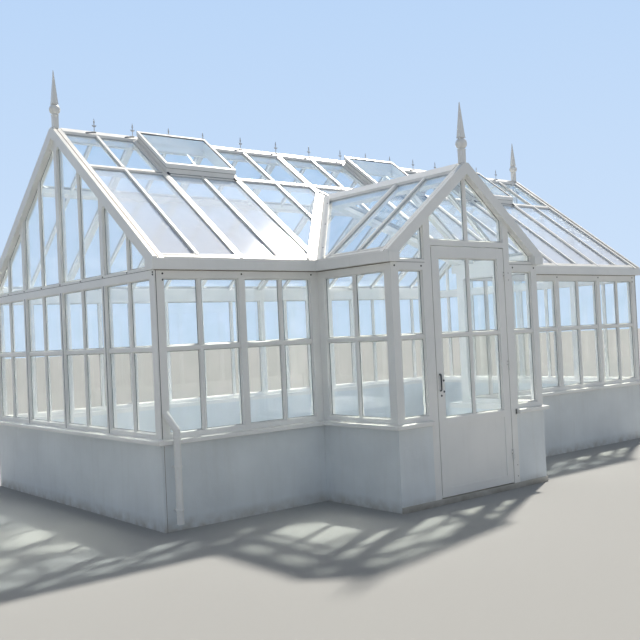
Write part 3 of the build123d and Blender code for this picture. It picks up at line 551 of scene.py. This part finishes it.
# A web fills a corner up to a quarter circle: radius times (1 - sine, 1 - cosine). It is flat and lies
# below the glass, against the eaves rail, either side of the purlin or the ridge beam. A length up the
# slope is plan_share of itself in plan. There is no web where the porch roof runs in.
web_radius, web_top, web_foot = 0.085, -0.021, -0.029
plan_share = 0.797
quarter = np.linspace(0, np.pi / 2, 8)[:, None]
web = np.concatenate([[(0, 0)], web_radius * np.hstack([1 - np.sin(quarter), 1 - np.cos(quarter)])])
bay_edges = [(x + side * half_rafter, side) for x in rafter_lines for side in (-1, 1)]
bay_edges += [(x_inside_left, 1), (x_inside_right, -1)]
rail_edges = ((0.016, 1), (1.132, -1), (1.172, 1), (1.668, -1))
webs = []
for slope in (FRONT, REAR):
    for x, side in bay_edges:
        for inward, up in rail_edges:
            porch_reach = 1.0 if inward < 1 else 0.2
            by_porch = slope is FRONT and abs(x - x_porch) < porch_reach and inward < 1.15
            if not by_porch:
                outline = on_slope(slope, x + side * web[:, 0], inward + up * plan_share * web[:, 1])
                webs.append([outline + lift * facing_up(slope) for lift in (web_foot, web_top)])
add_piece("roof_corner_webs", np.array(webs), roof_coat, "house")

# Three screws hold each half of a valley board to its slope. A valley spans half the porch and its
# gutter in width, and runs back as far as makes both slopes equally high.
screw_profile = [(0.0055, -0.001), (0.0055, 0.0012), (0.004, 0.003), (0.0006, 0.0036)]
screw_offset, screw_lift = 0.0915, 0.014
valley_share = np.array([0.16, 0.5, 0.84])
valley_width = x_porch - x_porch_left + gutter_width
valley_run = valley_width * porch_rise / main_rise
valley_inward = valley_width * valley_share - gutter_width
valley_y = y_front - gutter_width + valley_run * valley_share
valley_places, valley_axes = [], []
for slope, x_wall, inwards in ((PORCH_LEFT, x_porch_left, 1), (PORCH_RIGHT, x_porch_right, -1)):
    valley_x = x_wall + inwards * valley_inward
    valley_places.append(on_slope(FRONT, valley_x, valley_y + screw_offset - y_front, screw_lift))
    valley_places.append(on_slope(slope, valley_y - screw_offset, valley_inward, screw_lift))
    valley_axes += [[facing_up(FRONT)] * 3, [facing_up(slope)] * 3]
valley_screws = turned(screw_profile, 10, np.concatenate(valley_places), np.concatenate(valley_axes))
add_piece("valley_screws", valley_screws, black_steel, "house")


# Roof glass
# Toughened glass with a coating that mirrors little sky, bedded on silicone. It is clear, except that the
# front slope's lower panes are painted milky, more so towards the eaves: a painted reflection of the sky's
# glare on them.

coated_glass_ior = 1.3
roof_glass = pane_glass("clear_coated_toughened_roof_glass", clean="#FDFEFE", film="#F5F9FA",
                        lamp_light="#F8FBFB", ior=coated_glass_ior)
dress(roof_glass, "roof_glass_upper", "porch_roof_glass", "vent_glass")


def glare_veil_glass(name, clean, painted_glare, lamp_light):
    """Glass under a milky veil over what is behind it, which thickens from the purlin down to the eaves
    in soft patches 500 mm across: a painted reflection of sky glare. Panes behind the ridge and within 0.9 m
    of the porch's middle line, beside the valleys, are clear. A film of dust scatters the sun softly."""
    even = {"IOR": coated_glass_ior, "Coat Weight": 0.015, "Coat Roughness": 0.35}
    made, tree, shader = new_material(name, even)
    low = between_heights(tree, 2.05, 2.95)
    patches = blotches(tree, 0.5, low=0.2, high=0.8)
    uneven = add_node(tree, "Math", {0: patches, 1: 0.2}, operation="MULTIPLY").outputs[0]
    cover = add_node(tree, "Math", {0: low, 1: uneven}, operation="ADD", use_clamp=True).outputs[0]
    place = add_node(tree, "TexCoord").outputs["Object"]
    axes = add_node(tree, "SeparateXYZ", {"Vector": place})
    in_front = add_node(tree, "Math", {0: axes.outputs["Y"], 1: y_ridge}, operation="LESS_THAN").outputs[0]
    from_porch = add_node(tree, "Math", {0: axes.outputs["X"], 1: -x_porch}, operation="ADD").outputs[0]
    apart = add_node(tree, "Math", {0: from_porch}, operation="ABSOLUTE").outputs[0]
    beside = add_node(tree, "Math", {0: apart, 1: 0.9}, operation="GREATER_THAN").outputs[0]
    for share in (in_front, beside):
        cover = add_node(tree, "Math", {0: cover, 1: share}, operation="MULTIPLY").outputs[0]
    layered(tree, shader, clean, (painted_glare, cover))
    veiled = add_node(tree, "MapRange", {"Value": cover, "To Min": 0.97, "To Max": 0.45})
    tree.links.new(veiled.outputs["Result"], shader.inputs["Transmission Weight"])
    dulled = add_node(tree, "MapRange", {"Value": cover, "To Min": 0.005, "To Max": 0.042})
    tree.links.new(dulled.outputs["Result"], shader.inputs["Roughness"])
    waves = blotches(tree, 0.3, low=0, high=1, detail=0.0)
    relief(tree, shader, (waves, 0.00015))
    let_lamps_through(tree, shader, lamp_light)
    return made


# Painted reflection: the milky veil stands in for the sky's glare on the front slope's lower panes.
glare_veiled_glass = glare_veil_glass("toughened_glass_with_painted_sky_glare", clean="#F6F9FB", painted_glare="#DEE1E8",
                              lamp_light="#E4E8EB")
dress(glare_veiled_glass, "roof_glass_lower")


# Roof vents
# Three raised sashes over kerbs between the rafters, with clear glass and rubber under their lips that also
# paints the shadow line under each lip.
# Each has a stay on its lower rail inside, and cast catches that screw down on the purlin.

dress(roof_coat, "vent_kerbs", "vent_sashes")
glazing_strips("vent_gaskets", ["vent_glass"], roof_gasket_section, grey_rubber_and_shade_strips, "house")

vent_left = rafter_lines[[0, 3, 5]] + half_rafter
vent_right = rafter_lines[[1, 4, 6]] - half_rafter
vent_middle = (vent_left + vent_right) / 2
stay = strip_section(width=0.014, height=0.005, sunk=0)
stay_foot, stay_head = 1.165, 1.42
stay_foot_lift, stay_head_lift = 0.018, 0.044
stays = carried(stay, on_slope(FRONT, vent_middle, stay_foot, stay_foot_lift),
                on_slope(FRONT, vent_middle, stay_head, stay_head_lift), facing_up(FRONT))
add_piece("vent_stays", stays, roof_coat, "house")

# The grey seals under the sash lips are a real seal, and they also paint the shadow line beneath each lip:
# painted shade.
lip_seal_and_shade_section = strip_section(width=0.007, height=0.003, sunk=0.001)
sash_overlap, lip_lift, lip_foot, lip_head = 0.008, 0.0385, 1.168, 1.690
front_lip, front_lip_level = 1.144, 0.0483
lip_left, lip_right = vent_left - sash_overlap, vent_right + sash_overlap
lip_starts = [on_slope(FRONT, lip_left, lip_foot, lip_lift), on_slope(FRONT, lip_right, lip_foot, lip_lift),
              on_slope(FRONT, lip_left, front_lip) + [0, 0, front_lip_level]]
lip_ends = [on_slope(FRONT, lip_left, lip_head, lip_lift), on_slope(FRONT, lip_right, lip_head, lip_lift),
            on_slope(FRONT, lip_right, front_lip) + [0, 0, front_lip_level]]
lip_outward = np.repeat([(-1, 0, 0), (1, 0, 0), (0, -1, 0)], 3, axis=0)
lip_seals_and_shade_lines = carried(lip_seal_and_shade_section, np.concatenate(lip_starts), np.concatenate(lip_ends), lip_outward)
add_piece("vent_lip_seals_and_painted_shade", lip_seals_and_shade_lines, grey_rubber_and_shade_strips, "house")


def cast_coat(name, colour, worn, dust):
    """Powder coat over sand-cast metal: less even than on an extrusion, worn in patches 80 mm across, with
    1 mm grain that is drawn at 4 mm so that it shows. Its sheen varies over 50 mm, and dust dulls it in
    patches 30 mm wide."""
    made, tree, shader = new_material(name, {"IOR": 1.5, "Coat Weight": 0.1})
    dusty = blotches(tree, 0.03, low=0.5, high=0.8)
    layered(tree, shader, colour, (worn, blotches(tree, 0.08)), (dust, dusty, 0.4))
    sheen = add_node(tree, "MapRange", {"Value": blotches(tree, 0.05), "To Min": 0.35, "To Max": 0.55})
    tree.links.new(sheen.outputs["Result"], shader.inputs["Roughness"])
    grain = blotches(tree, 0.004, low=0, high=1)
    relief(tree, shader, (grain, 0.0004))
    return made


dark_coat = cast_coat("dark_grey_powder_coat_on_cast_aluminium", "#222427", "#2E3034", "#4A4C4E")
catch_section = [(-0.011, -0.001), (0.011, -0.001), (0.011, 0.008), (0.006, 0.013), (-0.006, 0.013),
                 (-0.011, 0.008)]
catch_x = np.stack([vent_left, vent_right], axis=1).ravel()
catch_front, catch_back = 1.118, 1.143
catches = carried(catch_section, on_slope(FRONT, catch_x, catch_front), on_slope(FRONT, catch_x, catch_back),
                  facing_up(FRONT))
add_piece("vent_catches", catches, dark_coat, "house")


# Gutters and downpipe
# Extruded aluminium box gutters and a round pipe, in the same white coat. Folded straps
# tie each gutter's lip to the eaves, and collars clip the pipe to its brackets.

dress(white_coat, "main_gutters", "porch_gutters", "downpipe")

# One strap stands in the middle of each bay, and none where the porch joins the front
strap_section = strip_section(width=0.024, height=0.0005, sunk=0.0015)
strap_level, strap_reach = 2.0235, 0.049
lines = np.concatenate([[x_left], rafter_lines, [x_right]])
bay_middles = (lines[:-1] + lines[1:]) / 2
front_middles = bay_middles[(bay_middles < x_porch_left) | (bay_middles > x_porch_right)]
strap_places = np.array([(x, y_front, strap_level) for x in front_middles]
                        + [(x, y_rear, strap_level) for x in bay_middles])
strap_outward = np.array([(0, -1, 0)] * len(front_middles) + [(0, 1, 0)] * len(bay_middles))
gutter_straps = carried(strap_section, strap_places, strap_places + strap_reach * strap_outward, (0, 0, 1))
add_piece("gutter_straps", gutter_straps, white_coat, "house")

collar_profile = [(0.0262, -0.009), (0.0295, -0.009), (0.0310, -0.006), (0.0310, 0.006), (0.0295, 0.009),
                  (0.0262, 0.009)]
x_pipe, y_pipe, collar_levels = x_left + 0.092, y_front - 0.071, (0.164, 0.484, 0.700)
collars = turned(collar_profile, 28, [(x_pipe, y_pipe, z) for z in collar_levels], (0, 0, 1))
add_piece("pipe_collars", collars, white_coat, "house")


# Finials and cresting
# Cast aluminium: white on the three gables, blue-grey spikes along the ridge.
# Each spike has a bent strap foot that is screwed to the front of the ridge cap. The feet share the spikes'
# blue-grey coat, but are painted mid grey as shade.

# A finial's row is (half its width, height, 1 where square or 0 where round). A square ring is a round
# one whose radius is divided by the larger of the cosine and sine of its angle.
base_rows = [(0.024, 0.0, 1), (0.024, 0.112, 1), (0.0275, 0.114, 1), (0.0275, 0.1205, 1),
             (0.021, 0.1225, 1)]
ball_radius, ball_level = 0.05, 0.168
ball_turn = np.radians(np.linspace(24, 156, 13))
ball_rows = np.stack([ball_radius * np.sin(ball_turn), ball_level - ball_radius * np.cos(ball_turn),
                      np.zeros(13)], axis=1)
spike_rows = [(0.0265, 0.2155, 1), (0.0285, 0.217, 1), (0.0285, 0.2215, 1), (0.0255, 0.2235, 1),
              (0.0025, 0.5209, 1)]
finial_rows = np.concatenate([base_rows, ball_rows, spike_rows])
finial_turn = np.linspace(0, 2 * np.pi, 32, endpoint=False) + np.pi / 4
squareness = np.maximum(np.abs(np.cos(finial_turn)), np.abs(np.sin(finial_turn)))
finial_radius = finial_rows[:, :1] / squareness ** finial_rows[:, 2:]
finial_shape = np.stack([finial_radius * np.cos(finial_turn), finial_radius * np.sin(finial_turn),
                         np.tile(finial_rows[:, 1:2], (1, 32))], axis=-1)
finial_inset, main_finial_foot, porch_finial_foot = 0.017, 3.3704, 2.7940
finial_feet = np.array([(x_left + finial_inset, y_ridge, main_finial_foot),
                        (x_right - finial_inset, y_ridge, main_finial_foot),
                        (x_porch, y_porch + finial_inset, porch_finial_foot)])
finials = finial_feet[:, None, None] + finial_shape
finial_piece = add_piece("cast_finials", finials, white_coat, "house")
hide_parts("gable_finials")

# A spike is half an outline mirrored, in four layers that are narrower at the faces than in the middle
half_spike = np.array([(0.0038, -0.002), (0.0038, 0.040), (0.012, 0.044), (0.020, 0.050), (0.0225, 0.061),
                       (0.0165, 0.0575), (0.010, 0.056), (0.0045, 0.062), (0.0042, 0.070), (0.0088, 0.082),
                       (0.0068, 0.096), (0.0012, 0.1195)])
spike_x, spike_z = np.concatenate([half_spike, half_spike[::-1] * [-1, 1]]).T
spike_layers = [np.stack([spike_x * share, np.full(24, y), spike_z], axis=1)
                for share, y in ((0.7, -0.0025), (1, -0.0012), (1, 0.0012), (0.7, 0.0025))]
cap_level = 3.3811
crest_x = np.sort(np.concatenate([rafter_lines, bay_middles]))
crest_feet = np.array([(x, y_ridge, cap_level) for x in crest_x])
spikes = crest_feet[:, None, None] + np.array(spike_layers)
blue_grey_coat = cast_coat("blue_grey_powder_coat_on_cast_aluminium", "#C8CFD8", "#D0D6DD", "#D5D8DB")
cresting_piece = add_piece("cast_cresting", spikes, blue_grey_coat, "house")
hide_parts("ridge_cresting")

foot_strap = strip_section(width=0.012, height=0.008, sunk=0.001, top=0.010)
near_reach, bend_reach, tail_reach = 0.008, -0.014, -0.105
strap_inward, tail_inward, foot_lift = 1.711, 1.680, 0.010
near = on_slope(FRONT, crest_x + near_reach, strap_inward, foot_lift)
bend = on_slope(FRONT, crest_x + bend_reach, strap_inward, foot_lift)
tail = on_slope(FRONT, crest_x + tail_reach, tail_inward, foot_lift)
strap_starts, strap_ends = np.concatenate([near, bend]), np.concatenate([bend, tail])
foot_straps = carried(foot_strap, strap_starts, strap_ends, facing_up(FRONT))
# Painted shade: the strap feet get a mid grey instead of the spikes' blue-grey.
shaded_strap_coat = cast_coat("blue_grey_cast_coat_painted_in_shade", "#6A7077", "#787E85", "#8B9096")
add_piece("cresting_feet", foot_straps, shaded_strap_coat, "house")


# Porch door
# A glazed aluminium leaf between two jambs, hinged on the right and opening outwards. A slim bent
# rod is its handle on each face, and a lock and two latch buttons stand beside it.

dress(white_coat, "door_jambs", "door_leaf", "door_panel", "frame_hinges", "door_hinges")
glazing_strips("door_glazing_beads", ["door_glass"], bead_section, white_coat, "door")
glazing_strips("door_gaskets", ["door_glass"], gasket_section, grey_rubber_and_shade_strips, "door")

# The rod leaves the leaf, turns down through a quarter circle, runs straight and turns back. Each of
# its rings is square to the path, whose steps are the differences between neighbouring points.
x_handle, handle_top, handle_foot = -1.200, 1.044, 0.912
leaf_thickness, bend_radius, bend_start, rod_sunk = 0.045, 0.012, 0.004, 0.001
bend_turn = np.linspace(0, np.pi / 2, 5)
bend_out = bend_start + bend_radius * np.sin(bend_turn)
bend_up = bend_radius * (1 - np.cos(bend_turn))
path_out = np.concatenate([[-rod_sunk], bend_out, bend_out[::-1], [-rod_sunk]])
path_level = np.concatenate([[handle_top], handle_top - bend_up,
                             handle_foot + bend_up[::-1], [handle_foot]])
step_out, step_up = np.gradient(path_out), np.gradient(path_level)
step = np.hypot(step_out, step_up)
rod_turn = np.linspace(0, 2 * np.pi, 12, endpoint=False)
slim_below, thick_above, slim_radius, thick_radius = 0.965, 0.985, 0.0056, 0.0072
rod_radius = np.interp(path_level, [slim_below, thick_above], [slim_radius, thick_radius])[:, None]
rod_x = x_handle + rod_radius * np.cos(rod_turn)
rod_out = path_out[:, None] - rod_radius * np.sin(rod_turn) * (step_up / step)[:, None]
rod_z = path_level[:, None] + rod_radius * np.sin(rod_turn) * (step_out / step)[:, None]
handles = np.array([np.stack([rod_x, face + side * rod_out, rod_z], axis=-1)
                    for face, side in ((y_porch, -1), (y_porch + leaf_thickness, 1))])
handle_piece = add_piece("bent_rod_handles", handles, dark_coat, "door")
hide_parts("door_handles")

# Two screws hold each flap of the three hinges. The jamb has four fixings of its own.
x_pin, flap_proud = -0.326, 0.003
middle_hinge, hinge_spacing = 1.068, 0.771
hinge_levels = middle_hinge + hinge_spacing * np.array([-1, 0, 1])
leaf_screw_reach, leaf_screw_rises = 0.013, (0.009, 0.036)
jamb_screw_reach, jamb_screw_drops = 0.015, (0.035, 0.010)
small_screw_profile = [(0.0042, -0.0008), (0.0042, 0.0006), (0.003, 0.0018), (0.0005, 0.0022)]
leaf_screw_places = [(x_pin - leaf_screw_reach, y_porch - flap_proud, level + rise)
                     for level in hinge_levels for rise in leaf_screw_rises]
leaf_screws = turned(small_screw_profile, 10, leaf_screw_places, (0, -1, 0))
add_piece("door_screws", leaf_screws, black_steel, "door")

x_sill_end, sill_end_foot, sill_end_top = -0.2555, 0.637, 0.682
sill_end = strip_section(width=0.012, height=0.0025, sunk=0.0015)
seal_foot, seal_top = [(x_sill_end, y_porch, sill_end_foot)], [(x_sill_end, y_porch, sill_end_top)]
sill_end_seal = carried(sill_end, seal_foot, seal_top, (0, -1, 0))
add_piece("sill_end_seal", sill_end_seal, black_rubber_and_shadow_lines, "house")

x_fixings, fixing_levels = -0.270, (0.100, 0.196, 1.811, 1.873)
jamb_screw_places = [(x_pin + jamb_screw_reach, y_porch - flap_proud, level - drop)
                     for level in hinge_levels for drop in jamb_screw_drops]
jamb_screw_places += [(x_fixings, y_porch, z) for z in fixing_levels]
jamb_screws = turned(small_screw_profile, 10, jamb_screw_places, (0, -1, 0))
add_piece("jamb_screws", jamb_screws, black_steel, "house")

button_profile = [(0.0085, -0.001), (0.0085, 0.0025), (0.0075, 0.0035), (0.0056, 0.0035), (0.0056, 0.006),
                  (0.0005, 0.0065)]
button_places = [(-1.157, y_porch, 0.992), (-1.156, y_porch, 0.902), (-1.188, y_porch, 0.871)]
buttons = turned(button_profile, 16, button_places, (0, -1, 0))
add_piece("door_lock_and_latches", buttons, dark_coat, "door")


# Floor, light and camera
# A plain pale floor under a pale blue dome. The soft key lamp stands high behind the right end,
# so roofs and caps are bright and the walls that face the camera are in open shade.

floor_reach = 150
floor_corners = [(x * floor_reach, y * floor_reach, 0) for x, y in ((-1, -1), (1, -1), (1, 1), (-1, 1))]
floor_mesh = bpy.data.meshes.new("floor")
floor_mesh.from_pydata(floor_corners, [], [(0, 1, 2, 3)])
floor = bpy.data.objects.new("floor", floor_mesh)
bpy.context.scene.collection.objects.link(floor)
floor_look = {"Base Color": linear("#9FA1A2"), "Roughness": 0.9, "Specular IOR Level": 0.2}
floor_mesh.materials.append(new_material("plain_pale_floor", floor_look)[0])

# The eye and the glass see a blue sky that deepens upwards. Matt surfaces are lit by a softer,
# greyer one, as they are in open shade.
sky = bpy.data.worlds.new("pale_sky")
sky.use_nodes = True
bpy.context.scene.world = sky
sky_tree = sky.node_tree
seen = sky_tree.nodes["Background"]
dome = add_node(sky_tree, "TexCoord").outputs["Generated"]
height = add_node(sky_tree, "SeparateXYZ", {"Vector": dome}).outputs["Z"]
rise = add_node(sky_tree, "MapRange", {"Value": height, "From Min": 0.0, "From Max": 0.8}).outputs["Result"]
blue = add_node(sky_tree, "Mix", {0: rise, 6: linear("#D0E4FB"), 7: linear("#9EC5F4")}, data_type="RGBA")
sky_tree.links.new(blue.outputs[2], seen.inputs["Color"])
soft = add_node(sky_tree, "Background", {"Color": linear("#DCDFE4"), "Strength": 0.42})
matt = add_node(sky_tree, "LightPath").outputs["Is Diffuse Ray"]
both = add_node(sky_tree, "MixShader", {0: matt, 1: seen.outputs[0], 2: soft.outputs[0]})
sky_tree.links.new(both.outputs[0], sky_tree.nodes["World Output"].inputs["Surface"])
bpy.context.scene.view_settings.view_transform = "Standard"


def add_lamp(name, strength, colour, spread, towards):
    """A far lamp that shines along a direction, softened by its spread in radians."""
    lamp = bpy.data.lights.new(name, "SUN")
    lamp.energy = strength
    lamp.color = linear(colour)[:3]
    lamp.angle = spread
    made = bpy.data.objects.new(name, lamp)
    bpy.context.scene.collection.objects.link(made)
    back = -unit(np.array(towards, float))
    across = unit(np.cross([0.0, 0.0, 1.0], back))
    made.matrix_world = Matrix(np.column_stack([across, np.cross(back, across), back]).tolist()).to_4x4()


add_lamp("key", 5.2, "#FFF6E8", spread=0.05, towards=(-0.60, -0.30, -0.745))

# The camera's turn from the Y axis towards X, its tilt up and its lean, in degrees
yaw, pitch, roll = np.radians([39.249, 1.053, -2.697])
sight = np.array([np.sin(yaw) * np.cos(pitch), np.cos(yaw) * np.cos(pitch), np.sin(pitch)])
level = np.array([np.cos(yaw), -np.sin(yaw), 0.0])
above = np.cross(level, sight)
right = np.cos(roll) * level + np.sin(roll) * above
top = np.cos(roll) * above - np.sin(roll) * level
pose = Matrix(np.column_stack([right, top, -sight]).tolist()).to_4x4()
pose.translation = (-6.4495, -7.1084, 1.3971)
lens = bpy.data.cameras.new("camera")
lens.sensor_width = 36.0
lens.lens = 49.706
lens.clip_end = 500.0
camera = bpy.data.objects.new("camera", lens)
bpy.context.scene.collection.objects.link(camera)
camera.matrix_world = pose
bpy.context.scene.camera = camera
